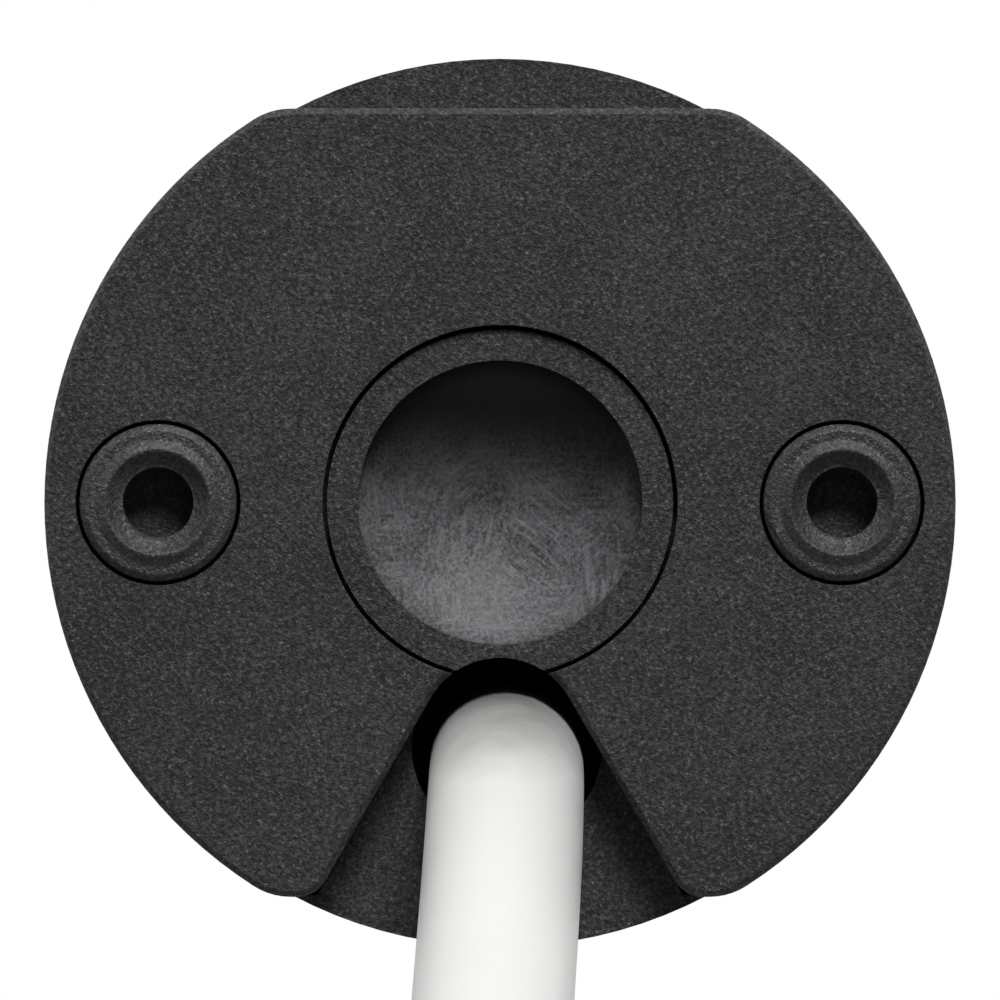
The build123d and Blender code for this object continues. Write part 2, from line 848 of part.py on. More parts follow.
def capacitor():
    can = disc(capacitor_r, capacitor_start, capacitor_end)
    can = chamfer(can.edges(), capacitor_edge)
    width, height, reach = capacitor_lug
    for side in (-1, 1):
        x = side * capacitor_lug_x
        can += block((x - width / 2, x + width / 2), (capacitor_end, capacitor_end + reach), (0, height))
    return can


def bell_notch(y_from, y_to):
    """The gap at the top of a bell that the wires pass through."""
    half = bell_notch_width / 2
    return block((-half, half), (y_from - overrun, y_to + overrun), (spigot_r - bell_notch_depth, tube_r))


def front_end_bell():
    bell = disc(spigot_r, bell_start, bell_end)
    bell += disc(bell_boss_r, bell_end, bell_end + bell_boss)
    bell -= disc(bush_outer_r + seat_gap, bell_start - overrun, bell_start + bush_length)
    bell -= disc(shaft_r + 2 * running_gap, bell_start, bell_end + bell_boss + overrun)
    bell -= bell_notch(bell_start, bell_end)
    for turn in bell_vent_turns:
        x, z = bell_vent_place * sin(radians(turn)), bell_vent_place * cos(radians(turn))
        bell -= disc(bell_vent_r, bell_start - overrun, bell_end + overrun, x, z)
    return bell


def rotor_bushes():
    """The two plain bearings that the rotor's shaft runs in."""
    bore = shaft_r + running_gap
    front = sleeve(bush_outer_r, bore, bell_start, bell_start + bush_length)
    rear_start = rear_boss_end - bush_length
    rear = sleeve(bush_outer_r, bore, rear_start, rear_boss_end)
    return Compound(children=[front, rear])


def slot_shapes(inset):
    """The stator's slots as one outline, inset by a gap: a round-ended body and a narrow mouth."""
    width = slot_width - 2 * inset
    low = stator_bore_r + slot_mouth_depth + inset
    high = slot_floor_r - inset
    body = Pos(0, (low + high) / 2) * Rectangle(width, high - low)
    if inset == 0:
        mouth_top = low + overrun / 2
        mouth_low = stator_bore_r - overrun / 2
        body += Pos(0, (mouth_low + mouth_top) / 2) * Rectangle(slot_mouth, mouth_top - mouth_low)
    return [Rot(0, 0, 360 * k / slot_count) * body for k in range(slot_count)]


def stator_core():
    outline = Circle(tube_bore_r - stator_gap) - Circle(stator_bore_r) - slot_shapes(0)
    return slab(outline, stator_start, stator_end)


def stator_windings():
    """Copper in the slots, joined by the end turns at both ends."""
    end_turn = sleeve(winding_r, winding_bore_r, front_windings, stator_start - stator_gap)
    end_turn = chamfer(end_turn.edges().group_by(Axis.Y)[0], winding_chamfer)
    rear_turn = sleeve(winding_r, winding_bore_r, stator_end + stator_gap, rear_windings)
    rear_turn = chamfer(rear_turn.edges().group_by(Axis.Y)[-1], winding_chamfer)
    overlap = 2 * stator_gap
    bars = slab(Sketch() + slot_shapes(stator_gap), stator_start - overlap, stator_end + overlap)
    return end_turn + bars + rear_turn


def rotor_core():
    """The laminated rotor between its two cast end rings."""
    bore = shaft_r + seat_gap
    core_r = stator_bore_r - air_gap
    profile = (
        (bore, rotor_start - cage_ring),
        (cage_ring_r, rotor_start - cage_ring),
        (cage_ring_r, rotor_start),
        (core_r, rotor_start),
        (core_r, rotor_end),
        (cage_ring_r, rotor_end),
        (cage_ring_r, rotor_end + cage_ring),
        (bore, rotor_end + cage_ring),
    )
    return turned(*profile)


def rotor_shaft():
    """The rotor's shaft, with the first sun gear cut on its rear end."""
    front = sensor_start
    neck = rear_boss_end + seat_gap
    shaft = disc(shaft_r, front, neck)
    return shaft + sun_gear(neck, planets_from[0] + stage_widths[0])


def sensor_magnet():
    """The magnet on the rotor's front end, by which the turns are counted."""
    return sleeve(magnet_r, shaft_r + seat_gap, sensor_start, sensor_start + magnet_thick)


def sensor_board():
    """The small round board that reads the magnet, on two posts of the front bell."""
    back = sensor_start - magnet_gap
    board = disc(sensor_board_r, back - sensor_board_thick, back)
    for side in (-1, 1):
        board += disc(sensor_post_r, back, bell_start, side * sensor_post_x)
    return board


def brake_spring():
    """The compression spring that holds the brake on."""
    pitch = (spring_length - spring_wire) / spring_turns
    place = Pos(0, spring_start + spring_wire / 2, 0) * Rot(-90, 0, 0)
    path = place * Helix(pitch, spring_length - spring_wire, spring_r)
    section = Plane(origin=path @ 0, z_dir=path % 0) * Rectangle(spring_wire, spring_wire)
    return sweep(section, path, is_frenet=True)


def brake_disc():
    """The steel disc that slides on the shaft: a hub for the spring and a rim for the lining."""
    bore = shaft_r + running_gap
    profile = (
        (bore, brake_start),
        (brake_hub_r, brake_start),
        (brake_hub_r, disc_start),
        (brake_disc_r, disc_start),
        (brake_disc_r, lining_start),
        (bore, lining_start),
    )
    return turned(*profile)


def brake_lining():
    return sleeve(brake_disc_r, lining_inner_r, lining_start, lining_start + lining_thick)


def brake_plate():
    """The fixed steel ring that the lining rubs on."""
    outer = spigot_r - bell_cup_wall - seat_gap
    return sleeve(outer, brake_plate_inner_r, plate_start, rear_bell_start)


def rear_end_bell():
    """The cup that holds the brake plate, with a boss for the rear bearing."""
    bore = shaft_r + 2 * running_gap
    cup_r = spigot_r - bell_cup_wall
    profile = (
        (bore, rear_bell_start),
        (cup_r, rear_bell_start),
        (cup_r, rear_bell_start - bell_cup_depth),
        (spigot_r, rear_bell_start - bell_cup_depth),
        (spigot_r, rear_bell_end),
        (bell_boss_r, rear_bell_end),
        (bell_boss_r, rear_boss_end),
        (bore, rear_boss_end),
    )
    bell = turned(*profile)
    return bell - disc(bush_outer_r + seat_gap, rear_boss_end - bush_length, rear_boss_end + overrun)


def half_tooth(teeth, radius, thickness):
    """Half a tooth's angle at a radius, for an involute tooth of a given thickness at its pitch circle."""
    pitch_r = gear_module * teeth / 2
    slope = radians(pressure_angle)
    base_r = pitch_r * cos(slope)
    here = acos(min(1, base_r / radius))
    return thickness / (2 * pitch_r) + (tan(slope) - slope) - (tan(here) - here)


def tooth_outline(teeth, radii, thickness):
    """A toothed outline with straight facets between the radii, and a tooth centred on +Z."""
    points = []
    for k in range(teeth):
        middle = 2 * pi * k / teeth
        angles = [half_tooth(teeth, radius, thickness) for radius in radii]
        flank = list(zip(radii, angles))
        points += [(r * sin(middle - a), r * cos(middle - a)) for r, a in flank]
        points += [(r * sin(middle + a), r * cos(middle + a)) for r, a in reversed(flank)]
    return make_face(Polyline(*points, close=True))


def external_teeth(teeth):
    pitch_r = gear_module * teeth / 2
    radii = (pitch_r - dedendum_share * gear_module, pitch_r, pitch_r + addendum_share * gear_module)
    return tooth_outline(teeth, radii, pi * gear_module / 2 - backlash)


def sun_gear(y_from, y_to):
    return slab(external_teeth(sun_teeth), y_from, y_to)


def ring_gear():
    """One ring gear for all three stages: its spaces are an outline of wider teeth."""
    pitch_r = gear_module * ring_teeth / 2
    tip_r = pitch_r - ring_addendum_share * gear_module
    radii = (tip_r, pitch_r, pitch_r + ring_dedendum_share * gear_module)
    spaces = tooth_outline(ring_teeth, radii, pi * gear_module / 2 + backlash)
    outline = Circle(tube_bore_r - ring_gear_gap) - spaces
    return slab(outline, ring_gear_start, output_plate_end + axial_gap)


def planet(stage, k):
    """Planet k of a stage. Its tooth points out to a space of the ring, its gap in to a tooth of the sun."""
    outline = external_teeth(planet_teeth) - Circle(pin_r + running_gap)
    y_from = planets_from[stage]
    gear = slab(Pos(0, planet_orbit_r) * outline, y_from, y_from + stage_widths[stage])
    return Rot(0, 360 * k / planet_count, 0) * gear


def carrier_pins(stage):
    """The three pins that the planets of a stage turn on."""
    y_from = planets_from[stage] + pin_short
    pin = disc(pin_r, y_from, plates[stage], 0, planet_orbit_r)
    return [Rot(0, 360 * k / planet_count, 0) * pin for k in range(planet_count)]


def planet_carrier(stage):
    """A stage's plate and pins, with the next stage's sun gear on its back."""
    plate = disc(carrier_plate_r, plates[stage], plates[stage] + carrier_plate)
    sun = sun_gear(plates[stage] + carrier_plate, planets_from[stage + 1] + stage_widths[stage + 1])
    return plate + sun + carrier_pins(stage)


def output_shaft():
    """The last carrier, in one piece with the output shaft."""
    last = len(stage_widths) - 1
    shaft = disc(carrier_plate_r, plates[last], output_plate_end)
    shaft += disc(output_shaft_r, output_plate_end, shaft_end)
    flat_span = (wheel_start - wheel_gap / 2, shaft_end + overrun)
    for side in (-1, 1):
        flat = (side * output_flat_half, side * (output_shaft_r + overrun))
        shaft -= block((min(flat), max(flat)), flat_span, (-head_r, head_r))
    shaft -= sleeve(output_shaft_r + overrun, groove_r, clip_start, clip_start + clip_thick + groove_extra)
    return shaft + carrier_pins(last)


def output_bush():
    start = cap_start + (cap_length - output_bush_length) / 2
    return sleeve(output_bush_r, output_shaft_r + running_gap, start, start + output_bush_length)


def end_cap():
    """The plug that closes the tube: an outer wall, a hub for the bush, ribs and a collar."""
    hub_r = output_bush_r + cap_wall
    start = cap_start + (cap_length - output_bush_length) / 2
    plug = sleeve(spigot_r, spigot_r - cap_wall, cap_start, cap_end)
    plug += disc(hub_r, cap_start, cap_end)
    plug += spokes(cap_rib_count, cap_rib_width, hub_r - overrun, spigot_r - overrun, cap_start, cap_end)
    plug += sleeve(tube_r, hub_r - overrun, tube_end, cap_end)
    plug -= disc(output_bush_r + seat_gap, start, cap_end + overrun)
    plug -= disc(output_shaft_r + 2 * running_gap, cap_start - overrun, cap_end + overrun)
    for turn in rivet_turns():
        hole = post(rivet_r + seat_gap, 0, 0, tube_bore_r - rivet_depth - seat_gap, tube_r + overrun)
        plug -= rivet_place(rivet_rows()[1], turn) * hole
    return plug


def shaft_outline(grown=0):
    """The output shaft's section with its two flats, grown all round."""
    width = 2 * (output_flat_half + grown)
    return Circle(output_shaft_r + grown) & Rectangle(width, 2 * head_r)


def drive_wheel():
    """The wheel that turns the roller tube: rim, hub, web and ribs."""
    rim_r = tube_seat_r - wheel_rim
    wheel = turned(
        (rim_r, wheel_start),
        (tube_seat_r, wheel_start),
        (tube_seat_r, wheel_end - wheel_lead),
        (tube_seat_r - wheel_lead, wheel_end),
        (rim_r, wheel_end),
    )
    wheel += disc(wheel_hub_r, wheel_start, wheel_end)
    web_start = (wheel_start + wheel_end - wheel_web) / 2
    wheel += disc(rim_r + overrun, web_start, web_start + wheel_web)
    ribs = spokes(wheel_ribs, wheel_rib_width, wheel_hub_r - overrun, rim_r + overrun, wheel_start, wheel_end)
    wheel += ribs
    wheel -= slab(shaft_outline(running_gap), wheel_start - overrun, wheel_end + overrun)
    return wheel - keyway(wheel_start, wheel_end)


def wheel_clip():
    """The snap ring in the shaft's groove, open on one side."""
    start = clip_start + groove_extra / 2
    clip = sleeve(clip_r, groove_r + seat_gap, start, start + clip_thick)
    half = clip_mouth / 2
    span = (start - overrun, start + clip_thick + overrun)
    return clip - block((-half, half), span, (-clip_r - overrun, 0))


def free_route():
    """The free cable's points, from the head to the coil."""
    return [(cable_x, cover_depth, cable_z), (cable_x, -exit_run, cable_z), *cable_route, coil_entry]


def corner_radii(points):
    """The radius at each corner, a share of the shorter run there over the tangent of half the turn."""
    radii = []
    for before, here, after in zip(points, points[1:], points[2:]):
        arrive = Vector(*here) - Vector(*before)
        leave = Vector(*after) - Vector(*here)
        shorter = min(arrive.length, leave.length)
        radii.append(bend_share * shorter / tan(radians(arrive.get_angle(leave)) / 2))
    return radii


def free_path():
    points = free_route()
    return FilletPolyline(*points, radius=corner_radii(points))


def power_cable():
    """The cable's hanging stretch."""
    path = free_path()
    start = Plane(origin=path @ 0, z_dir=path % 0)
    return sweep(start * RegularPolygon(cable_r, cable_sides), path)


def coil_ends():
    """The ends of the coil's half turns as (inset in pitches, layer), front and back by turns."""
    insets = [0]
    layers = [0]
    for layer in range(coil_layers):
        step = 1 / 2 if layer % 2 == 0 else -1 / 2
        extra = 1 if layer == coil_layers - 1 else 0
        for _ in range(coil_half_turns + extra):
            insets.append(insets[-1] + step)
            layers.append(layer)
        if not extra:
            insets.append(insets[-1])
            layers.append(layer + 1)
    return list(zip(insets, layers))


def coil_radius():
    """The outer turn's radius that uses up the cable's length."""
    ends = coil_ends()
    used = free_path().length + 2 * (2 * cable_r)
    insets = sum((a[0] + b[0]) / 2 for a, b in zip(ends, ends[1:])) * coil_pitch
    return ((cable_length - used) / pi + insets) / (len(ends) - 1)


def coil_points():
    """The ends of the half turns, in space."""
    radius = coil_radius()
    x, y, z = coil_entry
    points = []
    for k, (inset, layer) in enumerate(coil_ends()):
        reach = radius - inset * coil_pitch
        side = -1 if k % 2 == 0 else 1
        points.append(Vector(x + layer * coil_layer_step, y + radius + side * reach, z - 2 * cable_r))
    return points


def half_turn(start, end, down):
    """Half a circle between two points at one height, through its lowest or highest point."""
    middle = (start + end) / 2
    reach = (end - start).length / 2
    return ThreePointArc(start, middle + Vector(0, 0, -reach if down else reach), end)


def coil_path():
    points = coil_points()
    drop = Vector(0, 0, 2 * cable_r)
    pieces = [Line(points[0] + drop, points[0])]
    for k, (start, end) in enumerate(zip(points, points[1:])):
        pieces.append(half_turn(start, end, k % 2 == 0))
    pieces.append(Line(points[-1], points[-1] - drop))
    return Wire([piece.edge() for piece in pieces])


def cable_coil():
    """The put-away length, wound in layers that spiral in and out, as one unbroken tube."""
    path = coil_path()
    start = Plane(origin=path @ 0, x_dir=(1, 0, 0), z_dir=path % 0)
    return sweep(start * RegularPolygon(cable_r, coil_sides), path)


def bundle_spans():
    """The coil's section at its top, as spans of x and z, measured to the cable's surface."""
    middle = coil_points()[0].Y + coil_radius()
    heights, sides = [], []
    for k, (start, end) in enumerate(zip(coil_points(), coil_points()[1:])):
        if k % 2 == 0:
            continue
        centre = (start + end) / 2
        reach = (end - start).length / 2
        lift = (reach ** 2 - (middle - centre.Y) ** 2) ** 0.5
        heights.append(start.Z + lift)
        sides += [start.X, end.X]
    x_span = (min(sides) - cable_r, max(sides) + cable_r)
    z_span = (min(heights) - cable_r, max(heights) + cable_r)
    return x_span, z_span, middle


def cable_tie():
    """The strap round the coil's top, with its head and tail."""
    (x_low, x_high), (z_low, z_high), y = bundle_spans()
    width, height = x_high - x_low + 2 * tie_gap, z_high - z_low + 2 * tie_gap
    middle = Pos((x_low + x_high) / 2, (z_low + z_high) / 2)
    bore = middle * RectangleRounded(width, height, cable_r)
    strap = middle * RectangleRounded(width + 2 * tie_thick, height + 2 * tie_thick, cable_r + tie_thick)
    y_from, y_to = y - tie_width / 2, y + tie_width / 2
    tie = slab(strap - bore, y_from, y_to)
    top = z_high + tie_gap
    head_x, head_y, head_z = tie_head
    x = x_high - head_x
    tie += block((x - head_x / 2, x + head_x / 2), (y - head_y / 2, y + head_y / 2), (top, top + head_z))
    tail_half = tie_thick / 2
    top += head_z
    return tie + block((x - tail_half, x + tail_half), (y_from, y_to), (top, top + tie_tail))


def cable_end():
    """The centre of the sheath's far end, which looks down."""
    return coil_points()[-1] - Vector(0, 0, 2 * cable_r)


def core_line(k):
    """The centre line of one stripped core, from the sheath down to its tip."""
    end = cable_end()
    turn = radians(90 + 120 * k)
    away = Vector(cos(turn), sin(turn), 0)
    near = end + away * core_ring_r
    far = end + away * core_spread
    drop = Vector(0, 0, stripped_length)
    first, second = core_bend_shares
    return FilletPolyline(near, near - first * drop, far - second * drop, far - drop, radius=2 * cable_r)


def core(k):
    """One insulated core."""
    path = core_line(k)
    start = Plane(origin=path @ 0, z_dir=path % 0)
    return sweep(start * RegularPolygon(core_r, wire_sides), path)


def core_ends():
    """The bare copper at the three cores' tips."""
    tips = [core_line(k) @ 1 for k in range(3)]
    return Compound(children=[post(bare_r, tip.X, tip.Y, tip.Z - bare_length, tip.Z) for tip in tips])


def least_coil_gap():
    """The least gap between the coil's turns, measured on points a cable radius apart along its path."""
    path = coil_path()
    count = int(path.length / cable_r)
    spots = [path @ (k / count) for k in range(count + 1)]
    skipped = int(2 * coil_pitch)
    least = min((a - b).length for i, a in enumerate(spots) for b in spots[i + skipped:])
    return least - 2 * cable_r


nodes = {
    "head_cover": head_cover,
    "head_body": head_body,
    "screw_bushes": screw_bushes,
    "setting_button": setting_button,
    "setting_switch": setting_switch,
    "cable_seal": cable_seal,
    "cable_clamp": cable_clamp,
    "clamp_screws": clamp_screws,
    "cable_inlet": cable_inlet,
    "crown": crown,
    "ring_seal": ring_seal,
    "tube_rivets": tube_rivets,
    "motor_tube": motor_tube,
    "board_carrier": board_carrier,
    "circuit_board": circuit_board,
    "relays": relays,
    "power_converter": power_converter,
    "radio_module": radio_module,
    "board_components": board_components,
    "aerial": aerial,
    "mains_wires": mains_wires,
    "motor_wires": motor_wires,
    "capacitor": capacitor,
    "sensor_board": sensor_board,
    "sensor_magnet": sensor_magnet,
    "front_end_bell": front_end_bell,
    "rotor_bushes": rotor_bushes,
    "stator_core": stator_core,
    "stator_windings": stator_windings,
    "rotor_core": rotor_core,
    "rotor_shaft": rotor_shaft,
    "brake_spring": brake_spring,
    "brake_disc": brake_disc,
    "brake_lining": brake_lining,
    "brake_plate": brake_plate,
    "rear_end_bell": rear_end_bell,
    "ring_gear": ring_gear,
    "first_carrier": lambda: planet_carrier(0),
    "second_carrier": lambda: planet_carrier(1),
    "output_shaft": output_shaft,
    "output_bush": output_bush,
    "end_cap": end_cap,
    "drive_wheel": drive_wheel,
    "wheel_clip": wheel_clip,
    "power_cable": power_cable,
    "cable_coil": cable_coil,
    "cable_tie": cable_tie,
    "core_brown": lambda: core(0),
    "core_blue": lambda: core(1),
    "core_earth": lambda: core(2),
    "core_ends": core_ends,
}
for stage_number, stage_name in enumerate(("first", "second", "third")):
    for planet_number in range(planet_count):
        name = f"{stage_name}_planet_{planet_number + 1}"
        nodes[name] = lambda s=stage_number, k=planet_number: planet(s, k)

os.makedirs("parts", exist_ok=True)
for name, make in nodes.items():
    export_step(make(), f"parts/{name}.step")

tube_length = free_path().length
ideal = RegularPolygon(cable_r, cable_sides).area * tube_length
print("nodes", len(nodes), "motor length", round(shaft_end, 1))
print("cable bend radii", [round(radius, 1) for radius in corner_radii(free_route())])
print("cable stretch", round(tube_length, 1))
print("cable volume over section times length", round(power_cable().volume / ideal, 4))
print("coil radius", round(coil_radius(), 2), "least gap between turns", round(least_coil_gap(), 2))
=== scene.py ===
"""A tubular motor for a roller blind: the finish of its pieces, its free cable and a plain studio.

Lengths are in metres, in the frame's own axes: the head's face looks along -Y, the motor runs back
along +Y, and +Z is up. Sizes that are easier to read in millimetres are written times mm.
"""
import json
import math

import bmesh
import bpy
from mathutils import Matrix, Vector


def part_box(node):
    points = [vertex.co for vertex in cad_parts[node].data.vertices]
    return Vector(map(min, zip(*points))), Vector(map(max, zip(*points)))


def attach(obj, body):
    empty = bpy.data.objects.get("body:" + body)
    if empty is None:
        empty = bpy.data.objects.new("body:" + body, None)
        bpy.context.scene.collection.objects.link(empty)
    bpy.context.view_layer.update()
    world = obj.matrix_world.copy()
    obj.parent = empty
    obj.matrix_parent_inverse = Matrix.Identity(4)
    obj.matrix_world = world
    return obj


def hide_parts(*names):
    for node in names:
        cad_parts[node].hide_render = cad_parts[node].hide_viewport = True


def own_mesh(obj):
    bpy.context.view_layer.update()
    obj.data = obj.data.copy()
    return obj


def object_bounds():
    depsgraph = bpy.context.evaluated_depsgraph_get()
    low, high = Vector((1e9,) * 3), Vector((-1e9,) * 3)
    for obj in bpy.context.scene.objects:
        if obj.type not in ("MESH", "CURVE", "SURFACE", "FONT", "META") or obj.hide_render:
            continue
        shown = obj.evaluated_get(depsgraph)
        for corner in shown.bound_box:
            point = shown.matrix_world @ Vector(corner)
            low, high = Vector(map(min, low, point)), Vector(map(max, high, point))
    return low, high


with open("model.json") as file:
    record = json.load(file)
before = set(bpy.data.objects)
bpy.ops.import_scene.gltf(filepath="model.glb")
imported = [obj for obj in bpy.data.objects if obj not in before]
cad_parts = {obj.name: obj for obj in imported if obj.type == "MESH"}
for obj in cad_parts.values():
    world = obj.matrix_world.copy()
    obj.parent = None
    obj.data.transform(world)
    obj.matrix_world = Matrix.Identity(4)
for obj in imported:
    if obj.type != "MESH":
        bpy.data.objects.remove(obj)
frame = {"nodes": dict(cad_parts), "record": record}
cad_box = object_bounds()
mm = 0.001

# The photograph's view: the camera stands in front of the face and looks along the motor
camera_distance = 450 * mm
view_width = 43.86 * mm
view_rise = 0.12 * mm
sensor_width = 36.0

# The free cable, with the route of its hanging stretch and its put-away coil
cable_length = 2000 * mm
cable_r = 3.4 * mm
cable_exit = Vector((0.3, 6.5, -11.5)) * mm
cable_route = [
    Vector(point) * mm
    for point in (
        (0.3, -1.0, -11.6),
        (0.1, -14.5, -15.7),
        (-0.6, -28.0, -24.6),
        (-2.1, -38.0, -35.9),
        (-4.0, -42.0, -48.6),
        (-6.0, -43.4, -62.0),
        (-7.4, -43.5, -75.6),
    )
]
coil_entry = Vector((-7.4, -43.5, -88.4)) * mm
hanging_length = 106.0 * mm
coil_lead = 2 * cable_r
coil_layers = 4
coil_half_turns = 3
coil_pitch = 8.7 * mm
coil_layer_step = 7.7 * mm
points_per_half_turn = 8
stripped_length = 38 * mm
core_r = 1.2 * mm
core_ring_r = 1.55 * mm
core_spread = 5 * mm
core_lead_share = 0.03
core_bend_shares = (0.25, 0.55)
core_green = (0.04, 0.22, 0.05)
core_yellow = (0.72, 0.6, 0.03)
bare_length = 7 * mm
bare_r = 0.55 * mm
strand_r = 0.15 * mm
strand_count = 12
strand_points = 10
strand_turns = 0.45
outer_strand_share = 0.7
inner_ring_share = 0.4

# Lamps: each with its place, the point that it faces, its size and its power in watts
lamps = {
    "key": ((0.14, -0.54, 0.71), (0, 0, 0), 0.38, 8.7),
    "front_fill": ((0.12, -0.9, 0.25), (0, 0, 0), 0.3, 0.1),
    "side_fill": ((-0.9, 0.1, 0.5), (0, 0.2, 0), 0.8, 3.0),
    "rear_fill": ((0.5, 1.15, 0.75), (0, 0.25, 0), 0.8, 6.5),
}

# How bright the background and the floor are for the rays that light the object, and how dim their
# part in front of the motor is in reflections: each span gives where that part ends and the rest begins
ambient = 0.04
front_dim = 0.03
world_span = (-0.5, 0.1)
floor_span = (-150 * mm, 50 * mm)
floor_bounce = 0.15

# The floor: its size, its gap below the lowest piece, its tone and where it fades to the background
floor_side = 3.6
floor_gap = 12 * mm
floor_white = 0.86
floor_roughness = 0.8
floor_fade = (0.25, 0.9)

# The turn of the patterns' own axes, so that no flat face lies along their cells
askew_turn = (0.61, 0.43, 0.78)

# The dish's scuffs as turns in degrees and shifts of their patches
scuffs_laid = ((4, 0.0), (38, 0.7), (74, 1.3), (96, 1.9), (141, 2.6))
# The painted shadow on the dish's upper part: full above the first height, gone below the second
dish_painted_shadow_z = 4.2 * mm
dish_painted_shadow_end_z = -1.0 * mm

# Painted shade, grey, on the sheath above these heights, with an edge that the dirt's noise makes uneven
painted_shade_from_z = -10.4 * mm
painted_shade_full_z = -6.2 * mm
painted_shade_unevenness = 3 * mm

# Rounding of the pieces' edges, in millimetres, and the least angle of such an edge
edge_rounds = {
    "head_cover": 0.12,
    "head_body": 0.1,
    "screw_bushes": 0.07,
    "setting_button": 0.1,
    "crown": 0.15,
    "tube_rivets": 0.06,
    "motor_tube": 0.05,
    "end_cap": 0.15,
    "drive_wheel": 0.15,
    "output_shaft": 0.1,
    "wheel_clip": 0.08,
    "cable_tie": 0.15,
    "brake_spring": 0.15,
}
round_from = math.radians(28)
merge_reach = 0.002 * mm
flat_within = math.radians(0.6)

# The slot's floor and the screw holes' floors, as the photograph's shadows place them: both are nearer
# to the face than the solids have them
slot_floor_y = 2.7 * mm
slot_floor_top = -9.6 * mm
slot_floor_gap = 0.02 * mm
slot_floor_r = 19.6 * mm
slot_flank_top = Vector((3.03, 0, -8.55)) * mm
slot_flank_foot = Vector((8.08, 0, -17.3)) * mm
hole_floor_y = 2.1 * mm
hole_end_y = 5 * mm
hole_r = 1.6 * mm
ridge_lift = 0.1 * mm

# The dish's edge is widened to its wall, from this share of the wall's radius on, and the dish's finish
# lies this far behind that edge
dish_edge_r = 6.2 * mm
dish_edge_share = 0.9
dish_reach = 4 * mm


def look_at(thing, place, target):
    """Puts a lamp or the camera at a place and turns it towards a point."""
    thing.location = Vector(place)
    thing.rotation_euler = (Vector(target) - Vector(place)).to_track_quat("-Z", "Y").to_euler()


def make_camera():
    """The camera at the photograph's viewing angle, level and square to the face."""
    data = bpy.data.cameras.new("camera")
    data.sensor_width = sensor_width
    data.lens = sensor_width * camera_distance / view_width
    camera = bpy.data.objects.new("camera", data)
    bpy.context.collection.objects.link(camera)
    look_at(camera, (0, -camera_distance, view_rise), (0, 0, view_rise))
    bpy.context.scene.camera = camera


def make_lamps():
    """The square soft lamps."""
    for name, (place, target, size, power) in lamps.items():
        data = bpy.data.lights.new(name, "AREA")
        data.size = size
        data.energy = power
        lamp = bpy.data.objects.new(name, data)
        bpy.context.collection.objects.link(lamp)
        look_at(lamp, place, target)


def add_node(tree, kind, sockets=(), **settings):
    """A shader node, with its settings and with its sockets set or linked."""
    made = tree.nodes.new(kind)
    for name, value in settings.items():
        setattr(made, name, value)
    for name, value in dict(sockets).items():
        if isinstance(value, bpy.types.NodeSocket):
            tree.links.new(value, made.inputs[name])
        else:
            made.inputs[name].default_value = value
    return made


def shown_white(tree):
    """A value that is 1 for the rays that see the background, and 0 for those that light the object."""
    path = add_node(tree, "ShaderNodeLightPath")
    seen = path.outputs["Is Camera Ray"]
    for kind in ("Is Glossy Ray", "Is Transmission Ray"):
        either = {0: seen, 1: path.outputs[kind]}
        seen = add_node(tree, "ShaderNodeMath", either, operation="MAXIMUM").outputs[0]
    return seen


def room_tone(tree, place, span, unseen):
    """The background's tone: white where it is seen, dim in reflections of the room in front.

    The rays that light the object by way of the background get the unseen tone.
    """
    front_to_back = add_node(tree, "ShaderNodeSeparateXYZ", {"Vector": place}).outputs["Y"]
    start, end = span
    dim = {"Value": front_to_back, "From Min": start, "From Max": end, "To Min": front_dim, "To Max": 1.0}
    reflected = add_node(tree, "ShaderNodeMapRange", dim).outputs["Result"]
    straight = add_node(tree, "ShaderNodeLightPath").outputs["Is Camera Ray"]
    sockets = {"Value": straight, "To Min": reflected, "To Max": 1.0}
    seen = add_node(tree, "ShaderNodeMapRange", sockets).outputs["Result"]
    sockets = {"Value": shown_white(tree), "To Min": unseen, "To Max": seen}
    return add_node(tree, "ShaderNodeMapRange", sockets).outputs["Result"]


def make_world():
    """The background all round: white where it is seen."""
    world = bpy.data.worlds.new("studio")
    world.use_nodes = True
    tree = world.node_tree
    towards = add_node(tree, "ShaderNodeTexCoord").outputs["Generated"]
    background = tree.nodes["Background"]
    background.inputs["Color"].default_value = (1, 1, 1, 1)
    tree.links.new(room_tone(tree, towards, world_span, ambient), background.inputs["Strength"])
    bpy.context.scene.world = world


def make_floor():
    """A pale floor below the lowest piece."""
    low, high = cad_box
    mesh = bpy.data.meshes.new("floor")
    shape = bmesh.new()
    bmesh.ops.create_grid(shape, x_segments=1, y_segments=1, size=floor_side / 2)
    middle = Vector(((low.x + high.x) / 2, (low.y + high.y) / 2, low.z - floor_gap))
    bmesh.ops.translate(shape, verts=shape.verts, vec=middle)
    shape.to_mesh(mesh)
    shape.free()
    floor = bpy.data.objects.new("floor", mesh)
    bpy.context.collection.objects.link(floor)
    material = bpy.data.materials.new("floor")
    material.use_nodes = True
    tree = material.node_tree
    shader = tree.nodes["Principled BSDF"]
    shader.inputs["Roughness"].default_value = floor_roughness
    place = add_node(tree, "ShaderNodeTexCoord").outputs["Object"]
    tone = room_tone(tree, place, floor_span, floor_bounce)
    pale = add_node(tree, "ShaderNodeMath", {0: tone, 1: floor_white}, operation="MULTIPLY")
    tree.links.new(pale.outputs[0], shader.inputs["Base Color"])
    fade_far_floor(tree, shader, place, middle, tone)
    # The far floor's white is no lamp
    material.cycles.emission_sampling = "NONE"
    mesh.materials.append(material)


